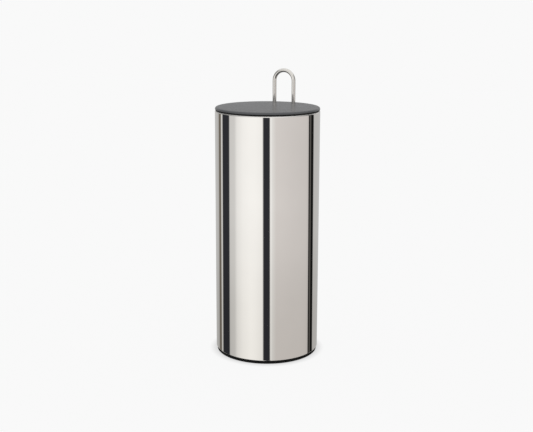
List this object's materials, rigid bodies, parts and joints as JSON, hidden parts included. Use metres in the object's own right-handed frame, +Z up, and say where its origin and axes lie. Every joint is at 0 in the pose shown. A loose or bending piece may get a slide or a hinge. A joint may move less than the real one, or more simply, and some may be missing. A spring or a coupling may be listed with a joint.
{
  "type": "toilet roll storage canister",
  "caption": "Tall round polished steel canister for spare toilet rolls, with a dark lid on a wire loop that lifts the rolls out on a platform.",
  "frame": {"origin": "on the floor, under the axis of the canister", "axes": "+Z up along the canister's axis, front towards -Y, wire loop at the back, +Y"},
  "size_m": [0.15, 0.15, 0.4101],
  "materials": {
    "polished_steel": "polished",
    "bright_wire": "polished",
    "lid_plastic": "satin",
    "base_plastic": "satin",
    "platform_plastic": "satin",
    "black_rubber": "matte",
    "grey_silicone": "matte",
    "zinc_steel": "satin"
  },
  "bodies": {
    "canister": {"canister_shell": "polished_steel", "base_cup": "base_plastic", "foot_ring": "black_rubber"},
    "carrier": {"lid_cap": "lid_plastic", "lid_gasket": "grey_silicone", "lid_underplate": "lid_plastic", "lid_screws": "zinc_steel", "lid_clips": "zinc_steel", "handle_wire": "bright_wire", "roll_platform": "platform_plastic", "leg_collars": "bright_wire", "platform_washers": "zinc_steel", "platform_screws": "zinc_steel", "platform_bumpers": "black_rubber"}
  },
  "joints": [
    {"name": "carrier_lift", "type": "slide", "parent": "canister", "child": "carrier", "axis": [0, 0, 1], "range_m": [0, 0.36]}
  ]
}
